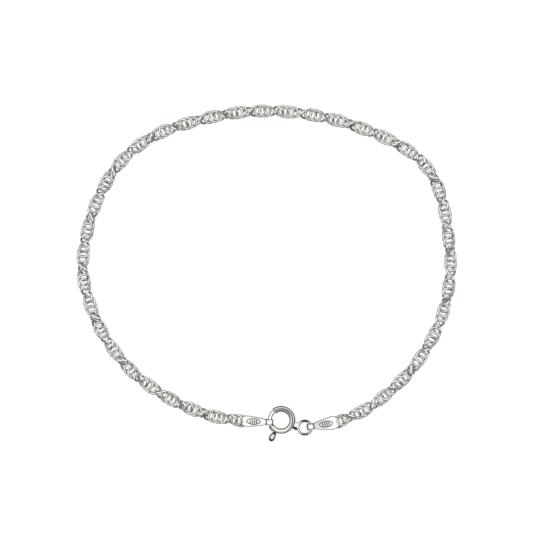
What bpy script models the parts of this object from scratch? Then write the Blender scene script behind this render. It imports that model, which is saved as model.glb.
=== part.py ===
"""Silver chain bracelet, closed and lying flat, with its bolt ring and two folded end tags.

Metres, +Z up. The bracelet lies on the plane z = 0 around the origin, and the clasp
is on its -Y side. The chain is a plain tube of the links' outer diameter. Each folded
tag is one solid with the end link that is soldered between its plates, and the hollow
bolt ring is one solid with its soldered tab and eye. The bolt slides inside the ring.
"""
import math

import bmesh
import bpy
import numpy as np
from mathutils import Matrix, Vector

# Chain: outer diameter of the linked rings, and the gap between the tube and an end link
CHAIN_DIAMETER = 0.00236
CHAIN_END_GAP = 0.0003
CHAIN_POINTS = 44
LINK_WIRE = 0.0004
LINK_MEAN_RADIUS = 0.00093

# The way the chain lies, clockwise from the left tag round to the right one
CHAIN_ROUTE = [
    (-0.01013, -0.02474), (-0.01670, -0.02205), (-0.02392, -0.01675), (-0.02938, -0.00906),
    (-0.03206, -0.00014), (-0.03126, 0.00761), (-0.02878, 0.01443), (-0.02503, 0.01998),
    (-0.01922, 0.02422), (-0.01162, 0.02679), (-0.00367, 0.02817), (0.00429, 0.02813),
    (0.01181, 0.02681), (0.01845, 0.02460), (0.02365, 0.02209), (0.02740, 0.01918),
    (0.03008, 0.01462), (0.03158, 0.00778), (0.03208, -0.00014), (0.03030, -0.00831),
    (0.02636, -0.01547), (0.02204, -0.02016), (0.01753, -0.02366),
]

# Bolt ring: a hollow tube bent round, open between its two ends, with a slot for the trigger
RING_X = 0.00252
RING_Y = -0.0257
RING_MEAN_RADIUS = 0.00198
TUBE_DIAMETER = 0.00104
TUBE_WALL = 0.0001
TUBE_START = math.radians(210)
TUBE_END = math.radians(487)

# Bolt: a round wire inside the tube, with a turned trigger that stands out through the slot
BOLT_CLEARANCE = 0.00008
BOLT_TIP_INSIDE = math.radians(8)
BOLT_BEHIND_TRIGGER = math.radians(18)
BOLT_TRAVEL = math.radians(70)
TRIGGER_ANGLE = math.radians(242.5)
TRIGGER_STEM_DIAMETER = 0.0004
TRIGGER_KNOB_DIAMETER = 0.00102
TRIGGER_KNOB_LENGTH = 0.00155
TRIGGER_NECK = 0.00012
SLOT_CLEARANCE = 0.00009
SLOT_END_ROOM = math.radians(3)

# Eye: the wire ring that carries the right tag, joined to the tube by a soldered tab
EYE_MEAN_RADIUS = 0.00117
EYE_WIRE = 0.00048
EYE_ANGLE = math.radians(-17.4)
TAB_LENGTH = 0.00042
TAB_WIDTH = 0.0009
TAB_THICKNESS = 0.00036
SOLDER_DEPTH = 0.00004

# End tags: each a strip of plate, folded in two round the bolt or the eye
FOLD_ON_BOLT = math.radians(190)
TAG_PLATE = 0.00016
TAG_STRAP_WIDTH = 0.001
TAG_STRAP_LENGTH = 0.0004
TAG_PLATE_LENGTH = 0.0047
TAG_WIDEST_AT = 0.7
TAG_FOLD_CLEARANCE = 0.0001
TAG_FLOOR_GAP = 0.00005
TAG_SOLDER = 0.00003
END_LINK_INSIDE = 0.0003
EYE_PLAY = 0.00023
TAGS = {
    "tag_left": {"width": 0.00196, "axis": math.radians(177.5)},
    "tag_right": {"width": 0.00236, "axis": math.radians(9.5)},
}

TUBE_RADIUS = TUBE_DIAMETER / 2
BORE_RADIUS = TUBE_RADIUS - TUBE_WALL
BOLT_RADIUS = BORE_RADIUS - BOLT_CLEARANCE
TAG_FOLD_RADIUS = max(BOLT_RADIUS, EYE_WIRE / 2) + TAG_FOLD_CLEARANCE
TAG_END = TAG_STRAP_LENGTH + TAG_PLATE_LENGTH
END_LINK_PLACE = TAG_END - END_LINK_INSIDE
END_LINK_REACH = END_LINK_PLACE + LINK_MEAN_RADIUS + LINK_WIRE / 2
CLASP_HEIGHT = TAG_FOLD_RADIUS + TAG_PLATE + TAG_FLOOR_GAP
RING_CENTRE = Vector((RING_X, RING_Y, CLASP_HEIGHT))


def silver(name, roughness):
    """A polished silver with the given roughness."""
    material = bpy.data.materials.new(name)
    material.use_nodes = True
    shader = material.node_tree.nodes["Principled BSDF"]
    shader.inputs["Base Color"].default_value = (0.91, 0.90, 0.87, 1.0)
    shader.inputs["Metallic"].default_value = 1.0
    shader.inputs["Roughness"].default_value = roughness
    return material


def direction(angle):
    """The flat unit vector at an angle from +X."""
    return Vector((math.cos(angle), math.sin(angle), 0.0))


def add_object(name, bm, material, place=None):
    """Turn a bmesh into a named, smoothly shaded object with outward faces."""
    bmesh.ops.remove_doubles(bm, verts=bm.verts, dist=1e-8)
    bmesh.ops.recalc_face_normals(bm, faces=bm.faces)
    mesh = bpy.data.meshes.new(name)
    bm.to_mesh(mesh)
    bm.free()
    mesh.shade_smooth()
    mesh.set_sharp_from_angle(angle=math.radians(40))
    mesh.materials.append(material)
    thing = bpy.data.objects.new(name, mesh)
    thing.matrix_world = place or Matrix.Identity(4)
    bpy.context.scene.collection.objects.link(thing)
    return thing


def join_solid(body, name, bm, material):
    """Solder another closed shape to a body with a Boolean union."""
    helper = add_object(name, bm, material, body.matrix_world)
    helper.hide_render = True
    helper.display_type = "WIRE"
    union = body.modifiers.new(name, "BOOLEAN")
    union.operation = "UNION"
    union.solver = "EXACT"
    union.object = helper


def grid_faces(bm, grid, keep=None, wrap=True, flip=False):
    """Quads between neighbouring rows of a vertex grid, its columns wrapped round."""
    rows = len(grid)
    columns = len(grid[0])
    for row in range(rows - 1):
        for column in range(columns if wrap else columns - 1):
            if keep is not None and not keep(row, column):
                continue
            beside = (column + 1) % columns
            quad = [grid[row][column], grid[row][beside], grid[row + 1][beside], grid[row + 1][column]]
            bm.faces.new(reversed(quad) if flip else quad)


def add_torus(bm, centre, mean_radius, wire_radius, around=28, sides=10):
    """A closed round wire ring that lies flat."""
    grid = []
    for step in range(around):
        out = direction(2 * math.pi * step / around)
        row = []
        for side in range(sides):
            turn = 2 * math.pi * side / sides
            reach = mean_radius + wire_radius * math.cos(turn)
            row.append(bm.verts.new(centre + out * reach + Vector((0, 0, wire_radius * math.sin(turn)))))
        grid.append(row)
    grid_faces(bm, grid + [grid[0]])


def smooth_route(points, count):
    """Evenly spaced points on the Catmull-Rom curve through the chosen ones."""
    chosen = np.array(points)
    ends = np.vstack([2 * chosen[0] - chosen[1], chosen, 2 * chosen[-1] - chosen[-2]])
    before, here, there, after = (ends[k:len(ends) - 3 + k, None, :] for k in range(4))
    t = np.linspace(0, 1, 24, endpoint=False)[None, :, None]
    curve = 0.5 * (2 * here + (there - before) * t
                   + (2 * before - 5 * here + 4 * there - after) * t ** 2
                   + (3 * here - before - 3 * there + after) * t ** 3)
    fine = np.vstack([curve.reshape(-1, 2), chosen[-1]])
    length = np.concatenate([[0], np.cumsum(np.hypot(*np.diff(fine, axis=0).T))])
    even = np.linspace(0, length[-1], count)
    return np.stack([np.interp(even, length, fine[:, axis]) for axis in (0, 1)], axis=1)


def tag_place(name):
    """Where a tag's fold is, with the tag's own +X running out to its wide end."""
    axis = TAGS[name]["axis"]
    if name == "tag_left":
        fold = RING_CENTRE + direction(FOLD_ON_BOLT) * RING_MEAN_RADIUS
    else:
        fold = eye_centre() + direction(axis) * (EYE_MEAN_RADIUS - EYE_PLAY)
    return Matrix.Translation(fold) @ Matrix.Rotation(axis, 4, "Z")


def eye_centre():
    """The eye's centre, beyond the tab that carries it."""
    reach = RING_MEAN_RADIUS + TUBE_RADIUS + TAB_LENGTH + EYE_WIRE / 2 + EYE_MEAN_RADIUS
    return RING_CENTRE + direction(EYE_ANGLE) * reach


def build_chain(material):
    """The chain as one tube, from one tag's end link the long way round to the other's."""
    ends = []
    for name in ("tag_left", "tag_right"):
        start = tag_place(name) @ Vector((END_LINK_REACH + CHAIN_END_GAP, 0, 0))
        ends.append((start.x, start.y))
    route = smooth_route([ends[0]] + CHAIN_ROUTE + [ends[1]], CHAIN_POINTS)
    curve = bpy.data.curves.new("chain", "CURVE")
    curve.dimensions = "3D"
    curve.bevel_depth = CHAIN_DIAMETER / 2
    curve.bevel_resolution = 2
    curve.use_fill_caps = True
    spline = curve.splines.new("POLY")
    spline.points.add(len(route) - 1)
    for point, (x, y) in zip(spline.points, route):
        point.co = (x, y, CHAIN_DIAMETER / 2, 1.0)
    curve.materials.append(material)
    chain = bpy.data.objects.new("chain", curve)
    bpy.context.scene.collection.objects.link(chain)


def tag_outline(width):
    """Stations from the fold to the wide end: distance, half width and half inner gap."""
    strap = TAG_STRAP_WIDTH / 2
    clamp = LINK_WIRE / 2 - TAG_SOLDER
    stations = [(0.0, strap, TAG_FOLD_RADIUS)]
    for share in np.linspace(0, TAG_WIDEST_AT, 9):
        rise = share / TAG_WIDEST_AT
        bulge = 0.5 * (rise + math.sin(math.pi / 2 * rise))
        gap = TAG_FOLD_RADIUS + (clamp - TAG_FOLD_RADIUS) * rise ** 2 * (3 - 2 * rise)
        reach = TAG_STRAP_LENGTH + TAG_PLATE_LENGTH * share
        stations.append((reach, strap + (width / 2 - strap) * bulge, gap))
    for turn in np.radians(np.linspace(10, 80, 8)):
        share = TAG_WIDEST_AT + (1 - TAG_WIDEST_AT) * math.sin(turn)
        reach = TAG_STRAP_LENGTH + TAG_PLATE_LENGTH * share
        stations.append((reach, width / 2 * math.cos(turn), clamp))
    return stations


def build_tag(name, material):
    """A folded plate: upper half, round fold and lower half, soldered to its end link."""
    stations = tag_outline(TAGS[name]["width"])
    inner = TAG_FOLD_RADIUS
    outer = TAG_FOLD_RADIUS + TAG_PLATE
    profile = [(reach, half, gap, gap + TAG_PLATE) for reach, half, gap in reversed(stations)]
    rows = [((reach, low), (reach, high), half) for reach, half, low, high in profile]
    for turn in np.radians(np.linspace(105, 255, 11)):
        inside = (inner * math.cos(turn), inner * math.sin(turn))
        outside = (outer * math.cos(turn), outer * math.sin(turn))
        rows.append((inside, outside, TAG_STRAP_WIDTH / 2))
    rows += [((reach, -low), (reach, -high), half) for reach, half, low, high in reversed(profile)]
    bm = bmesh.new()
    grid = []
    for (x_in, z_in), (x_out, z_out), half in rows:
        corners = ((x_in, -half, z_in), (x_in, half, z_in), (x_out, half, z_out), (x_out, -half, z_out))
        grid.append([bm.verts.new(corner) for corner in corners])
    grid_faces(bm, grid)
    bm.faces.new(grid[0])
    bm.faces.new(reversed(grid[-1]))
    tag = add_object(name, bm, material, tag_place(name))
    link = bmesh.new()
    add_torus(link, Vector((END_LINK_PLACE, 0, 0)), LINK_MEAN_RADIUS, LINK_WIRE / 2)
    join_solid(tag, name + "_end_link", link, material)


def ring_point(angle, turn, radius):
    """A point at an angle round the bolt ring, on a circle of its tube's section."""
    out = direction(angle) * (RING_MEAN_RADIUS + radius * math.cos(turn))
    return out + Vector((0, 0, radius * math.sin(turn)))


def build_tube(material):
    """The hollow ring: outer wall, bore, two open ends and the trigger's slot."""
    slot_half = TRIGGER_STEM_DIAMETER / 2 + SLOT_CLEARANCE
    slot_turn = math.asin(min(0.95, slot_half / BORE_RADIUS))
    stem_turn = slot_half / (RING_MEAN_RADIUS + BORE_RADIUS)
    slot_start = TRIGGER_ANGLE - stem_turn - SLOT_END_ROOM
    slot_end = TRIGGER_ANGLE + BOLT_TRAVEL + stem_turn + SLOT_END_ROOM
    angles = np.concatenate([
        np.linspace(TUBE_START, slot_start, 6, endpoint=False),
        np.linspace(slot_start, slot_end, 14, endpoint=False),
        np.linspace(slot_end, TUBE_END, 27),
    ])
    turns = np.concatenate([
        np.linspace(-slot_turn, slot_turn, 4, endpoint=False),
        np.linspace(slot_turn, 2 * math.pi - slot_turn, 12, endpoint=False),
    ])

    def in_wall(row, column):
        """Whether a cell of the tube is metal, and not slot or open end."""
        if row < 0 or row >= len(angles) - 1:
            return False
        return not (slot_start - 1e-6 < angles[row] < slot_end - 1e-6 and column % len(turns) < 4)

    bm = bmesh.new()
    skins = []
    for radius in (TUBE_RADIUS, BORE_RADIUS):
        skins.append([[bm.verts.new(ring_point(a, t, radius)) for t in turns] for a in angles])
    outer, bore = skins
    grid_faces(bm, outer, in_wall)
    grid_faces(bm, bore, in_wall, flip=True)
    for row in range(len(angles)):
        for column in range(len(turns)):
            beside = (column + 1) % len(turns)
            if in_wall(row, column) != in_wall(row - 1, column):
                across = (outer[row][column], outer[row][beside], bore[row][beside], bore[row][column])
                bm.faces.new(across)
            if row < len(angles) - 1 and in_wall(row, column) != in_wall(row, column - 1):
                along = (outer[row][column], outer[row + 1][column], bore[row + 1][column], bore[row][column])
                bm.faces.new(along)
    loose = [vert for vert in bm.verts if not vert.link_faces]
    bmesh.ops.delete(bm, geom=loose, context="VERTS")
    return add_object("bolt_ring", bm, material, Matrix.Translation(RING_CENTRE))


def build_bolt_ring(material):
    """The hollow ring with its tab and eye soldered on."""
    ring = build_tube(material)
    tab_start = RING_MEAN_RADIUS + TUBE_RADIUS - SOLDER_DEPTH
    tab_end = RING_MEAN_RADIUS + TUBE_RADIUS + TAB_LENGTH + EYE_WIRE * 0.6
    tab = bmesh.new()
    size = Matrix.Diagonal((tab_end - tab_start, TAB_WIDTH, TAB_THICKNESS, 1.0))
    middle = Matrix.Translation(((tab_start + tab_end) / 2, 0, 0))
    turned = Matrix.Rotation(EYE_ANGLE, 4, "Z")
    bmesh.ops.create_cube(tab, size=1.0, matrix=turned @ middle @ size)
    join_solid(ring, "bolt_ring_tab", tab, material)
    eye = bmesh.new()
    add_torus(eye, eye_centre() - RING_CENTRE, EYE_MEAN_RADIUS, EYE_WIRE / 2, 36, 12)
    join_solid(ring, "bolt_ring_eye", eye, material)


def build_bolt(material):
    """The curved wire bolt, its ends rounded, and the turned trigger soldered to it."""
    tip = TUBE_END - 2 * math.pi - BOLT_TIP_INSIDE
    tail = TRIGGER_ANGLE + BOLT_BEHIND_TRIGGER
    cap = BOLT_RADIUS / RING_MEAN_RADIUS
    stations = [(tip + cap * (1 - math.cos(a)), math.sin(a)) for a in np.radians([20, 45, 70])]
    stations += [(angle, 1.0) for angle in np.linspace(tip + cap, tail - cap, 26)]
    stations += [(tail - cap * (1 - math.cos(a)), math.sin(a)) for a in np.radians([70, 45, 20])]
    turns = [2 * math.pi * side / 12 for side in range(12)]
    bm = bmesh.new()
    grid = [[bm.verts.new(ring_point(a, t, BOLT_RADIUS * share)) for t in turns] for a, share in stations]
    grid_faces(bm, grid)
    bm.faces.new(grid[0])
    bm.faces.new(reversed(grid[-1]))
    bolt = add_object("bolt", bm, material, Matrix.Translation(RING_CENTRE))

    stem = TRIGGER_STEM_DIAMETER / 2
    knob = TRIGGER_KNOB_DIAMETER / 2
    foot = RING_MEAN_RADIUS + BOLT_RADIUS * 0.3
    neck = RING_MEAN_RADIUS + TUBE_RADIUS + TRIGGER_NECK
    profile = [(foot, stem), (neck, stem)]
    for share in (0.2, 0.4, 0.6, 0.8, 0.95):
        swell = stem + (knob - stem) * math.sin(math.pi * min(share * 0.72, 0.5))
        round_off = math.sqrt(max(0.0, 1 - max(0.0, (share - 0.55) / 0.45) ** 2))
        profile.append((neck + TRIGGER_KNOB_LENGTH * share, swell * round_off))
    out = direction(TRIGGER_ANGLE)
    side = direction(TRIGGER_ANGLE + math.pi / 2)
    up = Vector((0, 0, 1))
    trigger = bmesh.new()
    rows = []
    for reach, radius in profile:
        rows.append([trigger.verts.new(out * reach + (side * math.cos(t) + up * math.sin(t)) * radius)
                     for t in turns])
    grid_faces(trigger, rows)
    trigger.faces.new(rows[0])
    trigger.faces.new(reversed(rows[-1]))
    join_solid(bolt, "bolt_trigger", trigger, material)


def main():
    for thing in list(bpy.data.objects):
        bpy.data.objects.remove(thing, do_unlink=True)
    build_chain(silver("chain_silver", 0.18))
    tag_silver = silver("tag_silver", 0.14)
    for name in TAGS:
        build_tag(name, tag_silver)
    build_bolt_ring(silver("bolt_ring_silver", 0.1))
    build_bolt(silver("bolt_silver", 0.12))


main()
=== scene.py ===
"""A silver chain bracelet, closed and lying flat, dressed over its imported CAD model.

Metres, +Z up. The sections follow the clasp outwards: bolt ring, tab and eye, bolt, tags,
end links and chain.
"""
import math

import bmesh
import bpy
import numpy as np
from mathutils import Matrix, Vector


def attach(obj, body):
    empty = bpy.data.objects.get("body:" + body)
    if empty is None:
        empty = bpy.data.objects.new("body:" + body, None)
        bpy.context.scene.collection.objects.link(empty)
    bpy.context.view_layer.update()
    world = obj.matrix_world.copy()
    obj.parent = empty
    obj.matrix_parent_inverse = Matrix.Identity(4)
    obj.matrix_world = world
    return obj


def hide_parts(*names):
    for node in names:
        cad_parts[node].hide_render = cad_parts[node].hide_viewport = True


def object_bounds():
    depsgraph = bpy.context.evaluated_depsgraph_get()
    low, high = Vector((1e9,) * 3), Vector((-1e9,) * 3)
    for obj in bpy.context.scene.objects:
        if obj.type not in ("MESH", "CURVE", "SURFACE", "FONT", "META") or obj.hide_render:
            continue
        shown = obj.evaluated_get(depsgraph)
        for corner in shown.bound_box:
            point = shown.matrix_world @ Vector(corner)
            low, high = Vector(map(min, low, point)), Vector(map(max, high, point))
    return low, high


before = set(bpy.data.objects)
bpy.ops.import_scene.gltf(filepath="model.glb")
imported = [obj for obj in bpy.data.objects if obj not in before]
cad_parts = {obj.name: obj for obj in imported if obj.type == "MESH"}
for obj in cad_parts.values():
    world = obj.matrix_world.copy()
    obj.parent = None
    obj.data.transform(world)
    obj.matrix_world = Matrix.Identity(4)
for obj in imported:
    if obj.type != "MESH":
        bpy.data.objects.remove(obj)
cad_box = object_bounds()


# Camera: straight above the bracelet on a copy stand, with a long lens, so that the loop
# keeps its plan shape. The square frame is measured at the middle height of the chain.
VIEW_WIDTH = 0.0931
VIEW_CENTRE = (-0.00004, 0.00117)
VIEW_HEIGHT = 0.5
VIEW_FOCUS = 0.00118
SENSOR_WIDTH = 36.0

lens = bpy.data.cameras.new("camera")
lens.sensor_width = SENSOR_WIDTH
lens.lens = SENSOR_WIDTH * (VIEW_HEIGHT - VIEW_FOCUS) / VIEW_WIDTH
camera = bpy.data.objects.new("camera", lens)
camera.location = (*VIEW_CENTRE, VIEW_HEIGHT)
bpy.context.scene.collection.objects.link(camera)
bpy.context.scene.camera = camera


# Floor: a plain white sweep. The camera sees a near-white glow that still takes faint
# shadows, and the polished metal mirrors it greyer, as it does a floor in its own shade.
FLOOR_HALF = 3.0
FLOOR_BELOW = 0.00002
FLOOR_SEEN = 0.93
FLOOR_SHADE = 0.2
FLOOR_IN_METAL = 0.48

floor_mesh = bpy.data.meshes.new("floor")
floor_mesh.from_pydata([(x * FLOOR_HALF, y * FLOOR_HALF, -FLOOR_BELOW) for x, y in
                        ((-1, -1), (1, -1), (1, 1), (-1, 1))], [], [(0, 1, 2, 3)])
floor = bpy.data.objects.new("floor", floor_mesh)
bpy.context.scene.collection.objects.link(floor)
floor_white = bpy.data.materials.new("floor_white")
floor_white.use_nodes = True
nodes, join = floor_white.node_tree.nodes, floor_white.node_tree.links.new
nodes.remove(nodes["Principled BSDF"])
matt = nodes.new("ShaderNodeBsdfDiffuse")
matt.inputs["Color"].default_value = (FLOOR_SHADE, FLOOR_SHADE, FLOOR_SHADE, 1.0)
glow = nodes.new("ShaderNodeEmission")
glow.inputs["Strength"].default_value = FLOOR_SEEN
lit = nodes.new("ShaderNodeAddShader")
join(matt.outputs[0], lit.inputs[0])
join(glow.outputs[0], lit.inputs[1])
in_metal = nodes.new("ShaderNodeEmission")
in_metal.inputs["Strength"].default_value = FLOOR_IN_METAL
looked_at = nodes.new("ShaderNodeLightPath")
choice = nodes.new("ShaderNodeMixShader")
join(looked_at.outputs["Is Camera Ray"], choice.inputs[0])
join(in_metal.outputs[0], choice.inputs[1])
join(lit.outputs[0], choice.inputs[2])
join(choice.outputs[0], nodes["Material Output"].inputs["Surface"])
floor_mesh.materials.append(floor_white)


# Light: a wide soft box overhead, brightest a little off its middle. A dark band stands low
# all round, as black card does round polished metal, and gives each wire its dark edges. It
# stands higher on the near side, towards -Y.
BACKDROP = 0.97
LIGHT_BY_HEIGHT = [(-1.0, 0.07), (0.23, 0.07), (0.5, 1.0), (0.8, 1.3), (1.0, 1.15)]
BAND_RISES = 0.6

studio = bpy.data.worlds.new("studio")
bpy.context.scene.world = studio
studio.use_nodes = True
nodes, join = studio.node_tree.nodes, studio.node_tree.links.new
towards = nodes.new("ShaderNodeTexCoord")
split = nodes.new("ShaderNodeSeparateXYZ")
join(towards.outputs["Generated"], split.inputs[0])
nearer = nodes.new("ShaderNodeMath")
nearer.operation = "MINIMUM"
nearer.inputs[1].default_value = 0.0
join(split.outputs["Y"], nearer.inputs[0])
lowered = nodes.new("ShaderNodeMath")
lowered.operation = "MULTIPLY_ADD"
lowered.inputs[1].default_value = BAND_RISES
join(nearer.outputs[0], lowered.inputs[0])
join(split.outputs["Z"], lowered.inputs[2])
height = nodes.new("ShaderNodeMapRange")
height.inputs["From Min"].default_value = -1.0
height.inputs["From Max"].default_value = 1.0
join(lowered.outputs[0], height.inputs["Value"])
ramp = nodes.new("ShaderNodeValToRGB")
join(height.outputs["Result"], ramp.inputs[0])
stops = ramp.color_ramp.elements
for level, value in LIGHT_BY_HEIGHT[1:-1]:
    stops.new((level + 1) / 2)
for stop, (level, value) in zip(stops, LIGHT_BY_HEIGHT):
    stop.position = (level + 1) / 2
    stop.color = (value, value, value, 1.0)
overhead = nodes["Background"]
join(ramp.outputs["Color"], overhead.inputs["Color"])
backdrop = nodes.new("ShaderNodeBackground")
backdrop.inputs["Strength"].default_value = BACKDROP
looked_at = nodes.new("ShaderNodeLightPath")
choice = nodes.new("ShaderNodeMixShader")
join(looked_at.outputs["Is Camera Ray"], choice.inputs[0])
join(overhead.outputs[0], choice.inputs[1])
join(backdrop.outputs[0], choice.inputs[2])
join(choice.outputs[0], nodes["World Output"].inputs["Surface"])
bpy.context.scene.view_settings.view_transform = "Standard"


# Bolt ring: a hollow tube of thin silver sheet, drawn round and bent into a ring that stays
# open at the upper left, where the bolt closes it. The trigger's slot is cut in its outer
# wall. A fine dark line along its top, darkest towards the upper right, is a painted
# reflection of the camera overhead.
RING_CENTRE = np.array([0.00252, -0.0257, 0.00065])
RING_RADIUS = 0.00198
TUBE_RADIUS = 0.00052
TUBE_WALL = 0.0001
TUBE_START = math.radians(210)
TUBE_END = math.radians(487)
TUBE_END_SHADE = 0.00012
TRIGGER_ANGLE = math.radians(242.5)
BOLT_TRAVEL = math.radians(70)
SLOT_HALF = 0.00029
SLOT_ROOM = math.radians(3)
SLOT_ROWS = (12, 48)
TUBE_ROWS = 120
SLOT_COLUMNS = 8
TUBE_COLUMNS = 64
TUBE_CREASE = 40
CAMERA_REFLECTION_TURN = math.radians(86)
CAMERA_REFLECTION_HALF = math.radians(17)
CAMERA_REFLECTION_DARKEST = math.radians(60)
CAMERA_REFLECTION_LEAST = 0.4
SILVER = (0.93, 0.922, 0.89, 1.0)
# The dark colour of painted shade, painted reflection and tarnish.
DARK_SHADE_AND_TARNISH = (0.05, 0.047, 0.042, 1.0)
SHADE_TARNISH_DULLS = 0.25
PATCHES_START = 0.7
OUTLINE_FACING = (0.15, 0.5)
SCRATCH_STRETCH = (0.15, 1.0, 1.0)
SCRATCH_DEPTH = 2e-7


def silver_wear_and_shade():
    """The node group all silver shares: cloudy polish, hair scratches, tarnish, painted shade and
    reflection.

    Colour goes from silver to a dark colour by a mask: the painted shade and tarnish value, broken
    up by a noise, or the outline, a painted dark reflection where a surface that isn't level turns
    away from the eye and mirrors the dark. The material hands in how far it turns away, as Facing.
    Roughness is the polish plus the haze times a larger noise, and more where the mask darkens it.
    Height is a fine noise, stretched along X, for the scratches that polishing leaves.
    """
    group = bpy.data.node_groups.new("silver_wear_and_shade", "ShaderNodeTree")
    for name, high, value in (("Shade And Tarnish", 1, 0), ("Facing", 1, 0), ("Shade Tarnish Amount", 1, 0.5), ("Polish", 1, 0.1),
                              ("Haze", 1, 0.1), ("Outline", 1, 0), ("Patch Scale", 1e5, 700),
                              ("Scratch Scale", 1e6, 9000)):
        socket = group.interface.new_socket(name, in_out="INPUT", socket_type="NodeSocketFloat")
        socket.min_value, socket.max_value, socket.default_value = 0, high, value
    for name, kind in (("Color", "Color"), ("Roughness", "Float"), ("Height", "Float")):
        group.interface.new_socket(name, in_out="OUTPUT", socket_type="NodeSocket" + kind)
    node, join = group.nodes.new, group.links.new
    given, made, place = node("NodeGroupInput"), node("NodeGroupOutput"), node("ShaderNodeTexCoord")

    def worked_out(operation, first, second):
        """One step of arithmetic between two values or sockets."""
        step = node("ShaderNodeMath")
        step.operation = operation
        for socket, value in zip(step.inputs, (first, second)):
            if isinstance(value, float):
                socket.default_value = value
            else:
                join(value, socket)
        return step.outputs[0]

    patches = node("ShaderNodeTexNoise")
    patches.inputs["Detail"].default_value = 4.0
    join(place.outputs["Object"], patches.inputs["Vector"])
    join(given.outputs["Patch Scale"], patches.inputs["Scale"])
    drawn = node("ShaderNodeMapping")
    drawn.inputs["Scale"].default_value = SCRATCH_STRETCH
    join(place.outputs["Object"], drawn.inputs["Vector"])
    hairs = node("ShaderNodeTexNoise")
    hairs.inputs["Detail"].default_value = 2.0
    join(drawn.outputs["Vector"], hairs.inputs["Vector"])
    join(given.outputs["Scratch Scale"], hairs.inputs["Scale"])

    # Painted shade and tarnish, where the piece's values say, broken up by the patches.
    broken = worked_out("ADD", patches.outputs[0], PATCHES_START)
    shade_and_stain = worked_out("MULTIPLY", given.outputs["Shade And Tarnish"], given.outputs["Shade Tarnish Amount"])
    shade_and_stain = worked_out("MULTIPLY", shade_and_stain, broken)
    # The outline: a painted dark reflection where a surface that isn't level turns away from the eye.
    outward, upward = node("ShaderNodeNewGeometry"), node("ShaderNodeSeparateXYZ")
    join(outward.outputs["Normal"], upward.inputs[0])
    level = worked_out("ABSOLUTE", upward.outputs["Z"], 0.0)
    edge_on = worked_out("MINIMUM", given.outputs["Facing"], worked_out("SUBTRACT", 1.0, level))
    turned = node("ShaderNodeMapRange")
    turned.interpolation_type = "SMOOTHSTEP"
    turned.inputs["From Min"].default_value, turned.inputs["From Max"].default_value = OUTLINE_FACING
    join(edge_on, turned.inputs["Value"])
    outline = worked_out("MULTIPLY", turned.outputs["Result"], given.outputs["Outline"])
    mask = worked_out("MINIMUM", worked_out("MAXIMUM", shade_and_stain, outline), 1.0)

    tint = node("ShaderNodeMix")
    tint.data_type = "RGBA"
    colours = {socket.identifier: socket for socket in tint.inputs}
    colours["A_Color"].default_value = SILVER
    colours["B_Color"].default_value = DARK_SHADE_AND_TARNISH
    join(mask, colours["Factor_Float"])
    join({socket.identifier: socket for socket in tint.outputs}["Result_Color"], made.inputs["Color"])
    cloudy = worked_out("MULTIPLY", patches.outputs[0], given.outputs["Haze"])
    dulled = worked_out("MULTIPLY", mask, SHADE_TARNISH_DULLS)
    polished = worked_out("ADD", given.outputs["Polish"], cloudy)
    join(worked_out("ADD", polished, dulled), made.inputs["Roughness"])
    join(hairs.outputs[0], made.inputs["Height"])


def silver(name, shade_tarnish_amount, polish, haze, outline):
    """A polished silver: the shared wear and painted shade with this piece's own amounts, on a metal
    shader.
    """
    material = bpy.data.materials.new(name)
    material.use_nodes = True
    nodes, join = material.node_tree.nodes, material.node_tree.links.new
    shader = nodes["Principled BSDF"]
    shader.inputs["Metallic"].default_value = 1.0
    wear = nodes.new("ShaderNodeGroup")
    wear.node_tree = bpy.data.node_groups["silver_wear_and_shade"]
    shade_and_tarnish = nodes.new("ShaderNodeAttribute")
    shade_and_tarnish.attribute_name = "shade_and_tarnish"
    join(shade_and_tarnish.outputs["Fac"], wear.inputs["Shade And Tarnish"])
    turned_away = nodes.new("ShaderNodeLayerWeight")
    join(turned_away.outputs["Facing"], wear.inputs["Facing"])
    for socket, value in (("Shade Tarnish Amount", shade_tarnish_amount), ("Polish", polish), ("Haze", haze), ("Outline", outline)):
        wear.inputs[socket].default_value = value
    bump = nodes.new("ShaderNodeBump")
    bump.inputs["Distance"].default_value = SCRATCH_DEPTH
    join(wear.outputs["Color"], shader.inputs["Base Color"])
    join(wear.outputs["Roughness"], shader.inputs["Roughness"])
    join(wear.outputs["Height"], bump.inputs["Height"])
    join(bump.outputs["Normal"], shader.inputs["Normal"])
    return material


def quads(rows, columns, closed_rows=True, closed_columns=True):
    """Faces of a grid of points, each cell a quad, with rows and columns joined round if closed."""
    row = np.arange(rows if closed_rows else rows - 1)[:, None]
    column = np.arange(columns if closed_columns else columns - 1)[None, :]
    below, beside = (row + 1) % rows, (column + 1) % columns
    corners = np.stack([row * columns + column, row * columns + beside,
                        below * columns + beside, below * columns + column], axis=-1)
    return corners.reshape(-1, 4)


def add_piece(name, points, faces, shade_and_tarnish, material, crease=None):
    """A piece from arrays of points, quads and painted shade and tarnish values.

    Points that no face uses are dropped, doubles are merged, and faces are turned outwards.
    """
    used, renumbered = np.unique(faces, return_inverse=True)
    mesh = bpy.data.meshes.new(name)
    mesh.from_pydata(points[used].tolist(), [], renumbered.reshape(faces.shape).tolist())
    mesh.attributes.new("shade_and_tarnish", "FLOAT", "POINT").data.foreach_set(
        "value", np.clip(shade_and_tarnish[used], 0, 1).astype(np.float32))
    shape = bmesh.new()
    shape.from_mesh(mesh)
    bmesh.ops.remove_doubles(shape, verts=shape.verts, dist=1e-8)
    bmesh.ops.recalc_face_normals(shape, faces=shape.faces)
    shape.to_mesh(mesh)
    shape.free()
    mesh.shade_smooth()
    if crease:
        mesh.set_sharp_from_angle(angle=math.radians(crease))
    mesh.materials.append(material)
    piece = bpy.data.objects.new(name, mesh)
    bpy.context.scene.collection.objects.link(piece)
    return piece


def near(distance, width):
    """A soft band: 1 where the distance is nothing, and falling as a bell to nothing past the width."""
    return np.exp(-(distance / width) ** 2)


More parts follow.
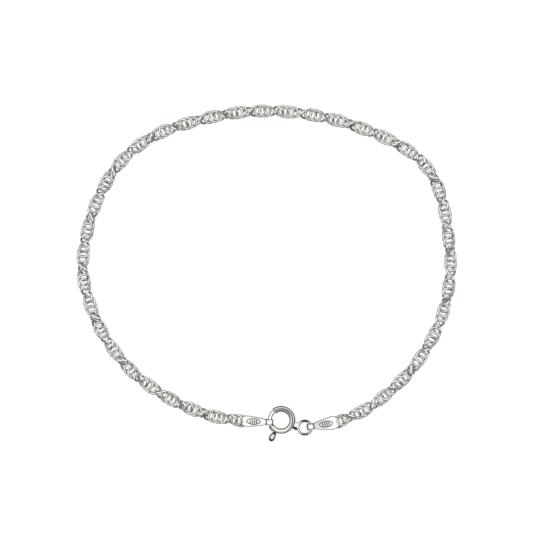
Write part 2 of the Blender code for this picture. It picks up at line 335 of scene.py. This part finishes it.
def tube_skin(angles, turns, radius):
    """A bent tube's skin: round the ring by one angle, and round the tube's section by the other."""
    angle, turn = np.meshgrid(angles, turns, indexing="ij")
    reach = RING_RADIUS + radius * np.cos(turn)
    skin = np.stack([reach * np.cos(angle), reach * np.sin(angle), radius * np.sin(turn)], axis=-1)
    return RING_CENTRE + skin.reshape(-1, 3)


def walled(rows, columns, metal):
    """Faces of a wall between an outer and an inner skin, where metal says which cells are there.

    Both skins have a quad in each metal cell, and wherever a metal cell meets an empty one,
    a narrow quad joins the two skins. The inner skin's points are numbered after the outer's.
    """
    number = np.arange(rows * columns).reshape(rows, columns)
    inner = rows * columns
    cells = quads(rows, columns, closed_rows=False)[metal.ravel()]
    edge = np.zeros((1, columns), bool)
    padded = np.vstack([edge, metal, edge])
    row, column = np.nonzero(padded[1:] != padded[:-1])
    here, beside = number[row, column], number[row, (column + 1) % columns]
    ends = np.stack([here, beside, beside + inner, here + inner], axis=-1)
    row, column = np.nonzero(metal != np.roll(metal, 1, axis=1))
    here, below = number[row, column], number[row + 1, column]
    sides = np.stack([here, below, below + inner, here + inner], axis=-1)
    return np.vstack([cells, cells[:, ::-1] + inner, ends, sides])


silver_wear_and_shade()
ring_silver = silver("bolt_ring_silver", shade_tarnish_amount=1.0, polish=0.05, haze=0.06, outline=0.9)
bore = TUBE_RADIUS - TUBE_WALL
slot_turn = math.asin(SLOT_HALF / bore)
slot_reach = SLOT_HALF / (RING_RADIUS + bore)
slot_start = TRIGGER_ANGLE - slot_reach - SLOT_ROOM
slot_end = TRIGGER_ANGLE + BOLT_TRAVEL + slot_reach + SLOT_ROOM
tube_angles = np.interp(np.arange(TUBE_ROWS), (0, *SLOT_ROWS, TUBE_ROWS - 1),
                        (TUBE_START, slot_start, slot_end, TUBE_END))
tube_turns = np.interp(np.arange(TUBE_COLUMNS), (0, SLOT_COLUMNS, TUBE_COLUMNS),
                       (-slot_turn, slot_turn, 2 * math.pi - slot_turn))
tube_metal = np.ones((TUBE_ROWS - 1, TUBE_COLUMNS), bool)
tube_metal[slice(*SLOT_ROWS), :SLOT_COLUMNS] = False
# Painted shade near the tube's open ends; a painted reflection of the camera in a line along its top.
from_end = np.minimum(tube_angles - TUBE_START, TUBE_END - tube_angles) * RING_RADIUS
off_reflection = (tube_turns - CAMERA_REFLECTION_TURN + np.pi) % (2 * np.pi) - np.pi
reflection_depth = CAMERA_REFLECTION_LEAST + (1 - CAMERA_REFLECTION_LEAST) * (0.5 + 0.5 * np.cos(tube_angles - CAMERA_REFLECTION_DARKEST))
camera_reflection = reflection_depth[:, None] * near(off_reflection, CAMERA_REFLECTION_HALF)
outside_dark = np.maximum(near(from_end, TUBE_END_SHADE)[:, None], camera_reflection).ravel()
tube_points = np.vstack([tube_skin(tube_angles, tube_turns, radius) for radius in (TUBE_RADIUS, bore)])
# The inner skin is painted fully dark: painted shade inside the tube.
ring_tube = add_piece("ring_tube", tube_points, walled(TUBE_ROWS, TUBE_COLUMNS, tube_metal),
                      np.concatenate([outside_dark, np.ones(outside_dark.size)]),
                      ring_silver, crease=TUBE_CREASE)
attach(ring_tube, "bracelet")
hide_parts("bolt_ring")


# Tab and eye: a round ring of silver wire that carries the right tag, and the small flat tab
# that joins it to the tube. Both joints are silver solder. A low bead beside the tab is painted
# fully dark: a painted shadow at the join.
EYE_ANGLE = math.radians(-17.4)
EYE_RADIUS = 0.00117
EYE_WIRE = 0.00048
EYE_INSIDE_DARK = 0.5
EYE_ENDS_DARK = 0.95
EYE_ENDS_POWER = 5
TAB_LENGTH = 0.00042
TAB_WIDTH = 0.0009
TAB_THICKNESS = 0.00036
TAB_ROUND = 0.22
TAB_IN_TUBE = 0.0001
TAB_IN_EYE = 0.000288
TAB_EDGE_POWER = 4
JOIN_SHADOW_OFF = -0.0006
JOIN_SHADOW_HALF = (0.00038, 0.0003, 0.00024)
JOIN_SHADOW_ROUND = 0.8


def direction(angle):
    """The flat unit vector at an angle from +X."""
    return np.array([math.cos(angle), math.sin(angle), 0.0])


def left_of(ahead):
    """The flat unit vector a quarter turn anticlockwise from another."""
    return np.cross([0, 0, 1], ahead)


def wire_rings(centres, along, beside, radius, wire, around, sides):
    """Round wire rings, one for each centre: points, faces and painted shade and tarnish values.

    A point lies at the ring's radius from its centre at one angle, between the directions
    along and beside, and at the wire's radius from there at a second angle, towards the
    ring's normal. The shade and tarnish value is 1 on the ring's inside and 0 on its outside:
    painted shade, with tarnish, where the inside faces the links that hang in it.
    """
    u = np.linspace(0, 2 * np.pi, around, endpoint=False)[None, :, None, None]
    v = np.linspace(0, 2 * np.pi, sides, endpoint=False)[None, None, :, None]
    centres, along, beside = (np.asarray(vectors, float).reshape(-1, 1, 1, 3)
                              for vectors in (centres, along, beside))
    out = np.cos(u) * along + np.sin(u) * beside
    up = np.cross(along, beside)
    points = centres + out * (radius + wire / 2 * np.cos(v)) + up * wire / 2 * np.sin(v)
    count = len(points)
    faces = quads(around, sides)[None] + (np.arange(count) * around * sides)[:, None, None]
    inside = np.broadcast_to(0.5 - 0.5 * np.cos(v), (count, around, sides, 1))
    return points.reshape(-1, 3), faces.reshape(-1, 4), inside.ravel()


def pillow(centre, ahead, half, squareness, rows=28, columns=40):
    """A block with rounded edges: a sphere's two angles, each cosine and sine raised to a small power."""
    north = np.linspace(-np.pi / 2, np.pi / 2, rows)[:, None]
    round_it = np.linspace(0, 2 * np.pi, columns, endpoint=False)[None, :]

    def eased(wave):
        """The wave's size to the power, with its sign kept."""
        return np.sign(wave) * np.abs(wave) ** squareness

    local = np.stack(np.broadcast_arrays(eased(np.cos(north)) * eased(np.cos(round_it)) * half[0],
                                         eased(np.cos(north)) * eased(np.sin(round_it)) * half[1],
                                         eased(np.sin(north)) * half[2]), axis=-1)
    points = centre + local @ np.stack([ahead, left_of(ahead), [0, 0, 1]])
    return points.reshape(-1, 3), quads(rows, columns, closed_rows=False)


eye_ahead = direction(EYE_ANGLE)
tube_edge = RING_RADIUS + TUBE_RADIUS
eye_centre = RING_CENTRE + eye_ahead * (tube_edge + TAB_LENGTH + EYE_WIRE / 2 + EYE_RADIUS)
eye_points, eye_faces, eye_inside = wire_rings(eye_centre, eye_ahead, left_of(eye_ahead),
                                               EYE_RADIUS, EYE_WIRE, around=72, sides=24)
# Painted shade on the eye's inside, and painted darker towards its top and bottom.
eye_rise = np.clip(np.abs(eye_points[:, 1] - eye_centre[1]) / EYE_RADIUS, 0, 1)
eye_shade_and_tarnish = np.maximum(EYE_INSIDE_DARK * eye_inside, EYE_ENDS_DARK * eye_rise ** EYE_ENDS_POWER)
ring_eye = add_piece("ring_eye", eye_points, eye_faces, eye_shade_and_tarnish, ring_silver)
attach(ring_eye, "bracelet")
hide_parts("bolt_ring")

tab_half = (TAB_IN_TUBE + TAB_LENGTH + TAB_IN_EYE) / 2
tab_middle = RING_CENTRE + eye_ahead * (tube_edge - TAB_IN_TUBE + tab_half)
tab_halves = (tab_half, TAB_WIDTH / 2, TAB_THICKNESS / 2)
tab_points, tab_faces = pillow(tab_middle, eye_ahead, tab_halves, TAB_ROUND)
# The tab is painted darker towards its two sides: painted shade on its rounded edges.
tab_off_middle = np.abs((tab_points - tab_middle) @ left_of(eye_ahead)) / (TAB_WIDTH / 2)
ring_tab = add_piece("ring_tab", tab_points, tab_faces, tab_off_middle ** TAB_EDGE_POWER, ring_silver)
# A low bead beside the tab, painted fully dark: a painted shadow at the join.
bead_middle = tab_middle + left_of(eye_ahead) * JOIN_SHADOW_OFF
bead_points, bead_faces = pillow(bead_middle, eye_ahead, JOIN_SHADOW_HALF, JOIN_SHADOW_ROUND)
ring_join_shadow = add_piece("ring_join_shadow", bead_points, bead_faces, np.ones(len(bead_points)), ring_silver)
for piece in (ring_tab, ring_join_shadow):
    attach(piece, "bracelet")
    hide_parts("bolt_ring")


# Bolt: a round silver wire, bent to the ring and pushed shut by a coil spring inside the
# tube. Its trigger is turned from rod, with a thin stem and a rounded thumb piece, and soldered on.
BOLT_RADIUS = 0.00034
BOLT_IN_TUBE = math.radians(8)
BOLT_PAST_TRIGGER = math.radians(18)
BOLT_SIDES = 28
BOLT_CAP_ROWS = 9
BOLT_ROWS = 58
STEM_RADIUS = 0.00024
STEM_FOOT = 0.000102
STEM_ROWS = 7
NECK = 0.00005
NECK_RADIUS = 0.00034
NECK_DARK = 0.00025
KNOB_RADIUS = 0.00054
KNOB_LENGTH = 0.0016
KNOB_WIDEST = 0.58
KNOB_ROWS = 28
TRIGGER_DARKER = 0.25
TIP_DARK = 0.0004

bolt_silver = silver("bolt_silver", shade_tarnish_amount=0.9, polish=0.06, haze=0.06, outline=0.9)
cap = BOLT_RADIUS / RING_RADIUS
cap_turns = np.linspace(0, np.pi / 2, BOLT_CAP_ROWS)
bolt_tip = TUBE_END - 2 * math.pi - BOLT_IN_TUBE
bolt_tail = TRIGGER_ANGLE + BOLT_PAST_TRIGGER
bolt_angles = np.concatenate([bolt_tip + cap * (1 - np.cos(cap_turns)),
                              np.linspace(bolt_tip + cap, bolt_tail - cap, BOLT_ROWS + 2)[1:-1],
                              bolt_tail - cap * (1 - np.cos(cap_turns[::-1]))])
bolt_swell = np.concatenate([np.sin(cap_turns), np.ones(BOLT_ROWS), np.sin(cap_turns[::-1])])
turn = np.linspace(0, 2 * np.pi, BOLT_SIDES, endpoint=False)[None, :]
reach = RING_RADIUS + BOLT_RADIUS * bolt_swell[:, None] * np.cos(turn)
rise = BOLT_RADIUS * bolt_swell[:, None] * np.sin(turn)
bolt_points = RING_CENTRE + np.stack([reach * np.cos(bolt_angles)[:, None],
                                      reach * np.sin(bolt_angles)[:, None], rise], axis=-1)
bolt_wire = add_piece("bolt_wire", bolt_points.reshape(-1, 3),
                      quads(len(bolt_angles), BOLT_SIDES, closed_rows=False),
                      np.zeros(rise.size), bolt_silver)
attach(bolt_wire, "bolt")
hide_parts("bolt")

foot = RING_RADIUS + STEM_FOOT
neck = tube_edge + NECK
share = np.linspace(0, 1, KNOB_ROWS)
swell = NECK_RADIUS + (KNOB_RADIUS - NECK_RADIUS) * np.sin(np.pi / 2 * np.minimum(share / KNOB_WIDEST, 1))
swell = swell * np.sqrt(1 - np.clip((share - KNOB_WIDEST) / (1 - KNOB_WIDEST), 0, 1) ** 2)
trigger_reach = np.concatenate([[foot], np.linspace(foot, neck, STEM_ROWS, endpoint=False),
                                neck + KNOB_LENGTH * share])
trigger_radius = np.concatenate([[0.0], np.full(STEM_ROWS, STEM_RADIUS), swell])
ahead = direction(TRIGGER_ANGLE)
round_out = np.cos(turn)[..., None] * left_of(ahead) + np.sin(turn)[..., None] * np.array([0, 0, 1.0])
trigger_points = RING_CENTRE + trigger_reach[:, None, None] * ahead
trigger_points = trigger_points + trigger_radius[:, None, None] * round_out
# The trigger is painted a little darker all over, with painted shade at its neck and towards its tip.
trigger_shade_and_tarnish = TRIGGER_DARKER + near(trigger_reach - neck, NECK_DARK)
trigger_shade_and_tarnish += near(trigger_reach - neck - KNOB_LENGTH, TIP_DARK)
bolt_trigger = add_piece("bolt_trigger", trigger_points.reshape(-1, 3),
                         quads(len(trigger_reach), BOLT_SIDES, closed_rows=False),
                         np.repeat(trigger_shade_and_tarnish, BOLT_SIDES), bolt_silver)
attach(bolt_trigger, "bolt")
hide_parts("bolt")


# End tags: each a strip of silver plate, stamped with a plain oval of upright bars, folded in
# two round the bolt or the eye, and soldered over the chain's end link between its wide ends.
TAG_PLATE = 0.00016
TAG_FOLD = 0.00044
TAG_CLAMP = 0.00017
TAG_STRAP = 0.0006
TAG_STRAP_HALF = 0.0005
TAG_LENGTH = 0.0047
TAG_WIDEST = 0.7
TAG_CLOSES_FROM = 0.00036
TAG_CLOSES_BY = 0.0004
TAG_EDGE = 0.00014
TAG_CROWN = 0.00007
TAG_ROWS = {"tip": 30, "plate": 100, "fold": 28}
TAG_COLUMNS = 73
TAG_CROWDING = 0.45
TAG_BEND = 0.0007
TAG_LINE_DARK = 0.00015
TAG_EDGE_DARKEST = 0.9
BEND_MIDDLE_HALF = 0.000175
BEND_MIDDLE_DARK = 0.3
TAG_INSIDE_DARK = 0.5
OVAL_HALF = (0.00116, 0.0005)
OVAL_LINE = 0.00012
STAMP_DEPTH = 0.00005
BARS = np.array([-0.00057, -0.00019, 0.00019, 0.00057])
BAR_HALF = 0.0003
BAR_LINE = 0.00013
FOLD_ON_BOLT = math.radians(190)
EYE_PLAY = 0.00023
RIGHT_TAG_AXIS = math.radians(9.5)
TAGS = {
    "tag_left": {"half": 0.00098, "axis": math.radians(177.5), "oval": 0.0029, "shade": 0.1,
                 "fold": RING_CENTRE + direction(FOLD_ON_BOLT) * RING_RADIUS},
    "tag_right": {"half": 0.00118, "axis": RIGHT_TAG_AXIS, "oval": 0.0028, "shade": 0.45,
                  "fold": eye_centre + direction(RIGHT_TAG_AXIS) * (EYE_RADIUS - EYE_PLAY)},
}


def tag_half(reach, half):
    """Half the tag's width at a distance from the fold: strap, a growing curve, then half an oval."""
    share = np.clip((reach - TAG_STRAP) / TAG_LENGTH, 0, 1)
    rise = np.clip(share / TAG_WIDEST, 0, 1)
    bulge = 0.5 * (rise + np.sin(np.pi / 2 * rise))
    closing = np.sqrt(1 - np.clip((share - TAG_WIDEST) / (1 - TAG_WIDEST), 0, 1) ** 2)
    return (TAG_STRAP_HALF + (half - TAG_STRAP_HALF) * bulge) * closing


def stamp(x, y, middle):
    """How deep the stamp goes, from 0 to 1: near an oval line, or near one of the upright bars."""
    across = x - middle
    ratio = np.maximum(np.hypot(across / OVAL_HALF[0], y / OVAL_HALF[1]), 1e-9)
    line = near(np.abs(ratio - 1) * np.hypot(across, y) / ratio, OVAL_LINE)
    off_bar = np.abs(across[..., None] - BARS).min(axis=-1)
    return np.maximum(line, near(off_bar, BAR_LINE) * (np.abs(y) < BAR_HALF))


def tag_surface(half, oval, shade):
    """A folded tag round its own fold, +X to the wide end: points, faces, painted shade and stamp values.

    The path runs along the upper plate from its tip, round the fold and back along the lower
    plate. Across it, both skins of the plate run from edge to edge. Their distance falls to
    nothing at the outline as a half round, and the upper skin carries the stamp.
    """
    widest = TAG_STRAP + TAG_LENGTH * TAG_WIDEST
    tip = widest + TAG_LENGTH * (1 - TAG_WIDEST) * np.sin(np.linspace(np.pi / 2, 0, TAG_ROWS["tip"]))
    flat = np.concatenate([tip, np.linspace(widest, 0, TAG_ROWS["plate"])[1:]])
    fall = np.clip((flat - TAG_CLOSES_FROM) / TAG_CLOSES_BY, 0, 1)
    gap = TAG_FOLD + (TAG_CLAMP - TAG_FOLD) * fall ** 2 * (3 - 2 * fall)
    turn = np.linspace(np.pi / 2, 3 * np.pi / 2, TAG_ROWS["fold"] + 2)[1:-1]
    middle = TAG_FOLD + TAG_PLATE / 2
    path_x = np.concatenate([flat, middle * np.cos(turn), flat[::-1]])
    path_z = np.concatenate([gap + TAG_PLATE / 2, middle * np.sin(turn), -(gap[::-1] + TAG_PLATE / 2)])
    plate_half = tag_half(flat, half)
    width = np.concatenate([plate_half, np.full(len(turn), TAG_STRAP_HALF), plate_half[::-1]])
    slope = np.stack([np.gradient(path_x), np.gradient(path_z)], axis=-1)
    slope /= np.linalg.norm(slope, axis=-1, keepdims=True)
    out_x, out_z = slope[:, 1], -slope[:, 0]
    length = np.concatenate([[0], np.cumsum(np.hypot(np.diff(path_x), np.diff(path_z)))])
    steep = np.gradient(width, length)

    spread = np.linspace(-1, 1, TAG_COLUMNS)
    spread = (1 - TAG_CROWDING) * spread + TAG_CROWDING * np.sin(np.pi / 2 * spread)
    y = width[:, None] * spread[None, :]
    x = np.broadcast_to(path_x[:, None], y.shape)
    upper = (np.arange(len(path_x)) < len(flat))[:, None]
    to_edge = (width[:, None] - np.abs(y)) / np.sqrt(1 + steep[:, None] ** 2)
    rim = np.sqrt(1 - (1 - np.clip(to_edge / TAG_EDGE, 0, 1)) ** 2)
    crown = -TAG_CROWN * (y / half) ** 2
    stamped = stamp(x, y, oval) * upper
    outer = TAG_PLATE / 2 * rim + crown - stamped * STAMP_DEPTH * rim
    inner = -TAG_PLATE / 2 * rim + crown
    skins = [np.stack([x + out_x[:, None] * lift, y, path_z[:, None] + out_z[:, None] * lift], axis=-1)
             for lift in (outer, inner)]
    points = np.concatenate(skins).reshape(-1, 3)
    faces = quads(*y.shape, closed_rows=False, closed_columns=False)

    # Painted shadow in the crease where the strap bends into the plate, lighter across its middle.
    bend = np.where(np.abs(y) > BEND_MIDDLE_HALF, 1.0, BEND_MIDDLE_DARK)
    bend = bend * near(x - TAG_BEND, TAG_LINE_DARK) * upper
    # Painted shade: a grey from the bend that fades out at the oval's far end, as strong as the tag's
    # shade.
    past_bend = (x - TAG_BEND) / (oval - TAG_BEND + OVAL_HALF[0])
    cast = shade * np.clip(1 - past_bend, 0, 1) * (past_bend > 0) * upper
    # A painted dark outline along the rounded rim: a painted reflection of the dark.
    edge = TAG_EDGE_DARKEST * near(to_edge, TAG_LINE_DARK)
    outside_dark = np.max([stamped, cast, bend, edge], axis=0).ravel()
    # The inner skins are painted half dark: painted shade between the two plates.
    shade_and_tarnish = np.concatenate([outside_dark, np.full(y.size, TAG_INSIDE_DARK)])
    return points, np.vstack([faces, faces[:, ::-1] + y.size]), shade_and_tarnish


tag_silver = silver("tag_silver", shade_tarnish_amount=0.85, polish=0.07, haze=0.1, outline=0.8)
for node, tag in TAGS.items():
    points, faces, shade_and_tarnish = tag_surface(tag["half"], tag["oval"], tag["shade"])
    ahead = direction(tag["axis"])
    placed = tag["fold"] + points @ np.stack([ahead, left_of(ahead), [0, 0, 1]])
    plate = add_piece(node + "_plate", placed, faces, shade_and_tarnish, tag_silver)
    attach(plate, "bracelet")
    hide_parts(node)


# End links: the chain's first and last rings. Each lies flat between the wide ends of a tag's
# two plates and is soldered there, and the nearest link of the chain hangs in it.
END_LINK_RADIUS = 0.00093
END_LINK_WIRE = 0.0004
END_LINK_INSIDE = 0.0003

end_links = {}
for node, tag in TAGS.items():
    ahead = direction(tag["axis"])
    end_links[node] = tag["fold"] + ahead * (TAG_STRAP + TAG_LENGTH - END_LINK_INSIDE)
    # Painted shade, with tarnish, on each end link's inside.
    points, faces, shade_and_tarnish = wire_rings(end_links[node], ahead, left_of(ahead),
                                        END_LINK_RADIUS, END_LINK_WIRE, around=48, sides=16)
    link = add_piece(node + "_end_link", points, faces, shade_and_tarnish, tag_silver)
    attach(link, "bracelet")
    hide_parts(node)


# Chain: round links of silver wire, closed one by one. Each passes through the next and lies
# about an eleventh of a turn further round, so the chain twists like a rope, with wide lobes
# where the links lie flat, narrow waists where they stand on edge, and see-through gaps.
LINK_PITCH = 0.00081
LINK_TURN = math.radians(33)
LINK_RADIUS = 0.00095
LINK_WIRE = 0.00045
LEAN_FLAT = math.tan(math.radians(7))
LEAN_ON_EDGE = math.tan(math.radians(42))
LIE_FLAT = 0.26
TO_SIDES = 0.00003
LOOSE_TURN = 0.07
LOOSE_TILT = 0.03
LOOSE_PLACE = 0.00002
LOOSE_SEED = 7
CHAIN_HEIGHT = 0.00118
SINKS_TO_TAG = 0.0026
BESIDE_LINK = 0.0004
CHAIN_ROUTE = [
    (0.01753, -0.02366), (0.02204, -0.02016), (0.02636, -0.01547), (0.03030, -0.00831),
    (0.03208, -0.00014), (0.03158, 0.00778), (0.03008, 0.01462), (0.02740, 0.01918),
    (0.02365, 0.02209), (0.01845, 0.02460), (0.01181, 0.02681), (0.00429, 0.02813),
    (-0.00367, 0.02817), (-0.01162, 0.02679), (-0.01922, 0.02422), (-0.02503, 0.01998),
    (-0.02878, 0.01443), (-0.03126, 0.00761), (-0.03206, -0.00014), (-0.02938, -0.00906),
    (-0.02392, -0.01675), (-0.01670, -0.02205), (-0.01013, -0.02474),
]


def smooth_route(points, steps=40):
    """A dense curve through chosen points: on each span the cubic that passes through both its
    ends, with a slope at each end that joins the points on either side."""
    chosen = np.array(points)
    ends = np.vstack([2 * chosen[0] - chosen[1], chosen, 2 * chosen[-1] - chosen[-2]])
    before, here, there, after = (ends[k:len(ends) - 3 + k, None, :] for k in range(4))
    t = np.linspace(0, 1, steps, endpoint=False)[None, :, None]
    curve = 0.5 * (2 * here + (there - before) * t
                   + (2 * before - 5 * here + 4 * there - after) * t ** 2
                   + (3 * here - before - 3 * there + after) * t ** 3)
    return np.vstack([curve.reshape(-1, 2), chosen[-1]])


def unit(vectors):
    """Each row's vector at length 1."""
    return vectors / np.linalg.norm(vectors, axis=1, keepdims=True)


route = smooth_route([end_links["tag_right"][:2]] + CHAIN_ROUTE + [end_links["tag_left"][:2]])
travelled = np.concatenate([[0], np.cumsum(np.hypot(*np.diff(route, axis=0).T))])
links = round(travelled[-1] / LINK_PITCH) - 1
half_turns = round((links + 1) * LINK_TURN / math.pi)
loose = np.random.default_rng(LOOSE_SEED)
turns = 1 + LOOSE_TURN * loose.normal(size=links + 1)
twist = math.pi / 2 - np.cumsum(turns)[:-1] / turns.sum() * half_turns * math.pi
twist = twist - LIE_FLAT * np.sin(2 * (twist - math.pi / 2))

place = np.arange(1, links + 1) * travelled[-1] / (links + 1)
here, beyond, before = (np.column_stack([np.interp(place + step, travelled, line) for line in route.T])
                        for step in (0, BESIDE_LINK, -BESIDE_LINK))
ahead = np.column_stack([unit(beyond - before), np.zeros(links)])
across = np.cos(twist)[:, None] * left_of(ahead) + np.sin(twist)[:, None] * np.array([0, 0, 1.0])
on_edge = np.cos(twist)[:, None] ** 2
lean, yaw = LOOSE_TILT * loose.normal(size=(2, links, 1))
leaning = LEAN_FLAT + (LEAN_ON_EDGE - LEAN_FLAT) * on_edge + lean
normal = unit(across + leaning * ahead + yaw * np.cross(ahead, across))

from_tag = np.minimum(place, travelled[-1] - place)
sunk = (CHAIN_HEIGHT - end_links["tag_left"][2]) * np.clip(1 - from_tag / SINKS_TO_TAG, 0, 1)
side = np.where(np.arange(links) % 2, TO_SIDES, -TO_SIDES)[:, None]
centres = np.column_stack([here, CHAIN_HEIGHT - sunk]) + across * side * on_edge
centres += LOOSE_PLACE * loose.normal(size=centres.shape)
reach = LINK_RADIUS * np.sqrt(1 - normal ** 2) + LINK_WIRE / 2
centres = np.clip(centres, np.array(cad_box[0]) + reach, np.array(cad_box[1]) - reach)
first = unit(ahead - normal * np.sum(ahead * normal, axis=1, keepdims=True))
# Painted shade, with tarnish, on each link's inside, where the next link hangs.
points, faces, shade_and_tarnish = wire_rings(centres, first, np.cross(normal, first),
                                    LINK_RADIUS, LINK_WIRE, around=16, sides=6)
chain_silver = silver("chain_silver", shade_tarnish_amount=0.42, polish=0.12, haze=0.1, outline=0.0)
chain_links = add_piece("chain_links", points, faces, shade_and_tarnish, chain_silver)
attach(chain_links, "bracelet")
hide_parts("chain")


bpy.context.view_layer.update()
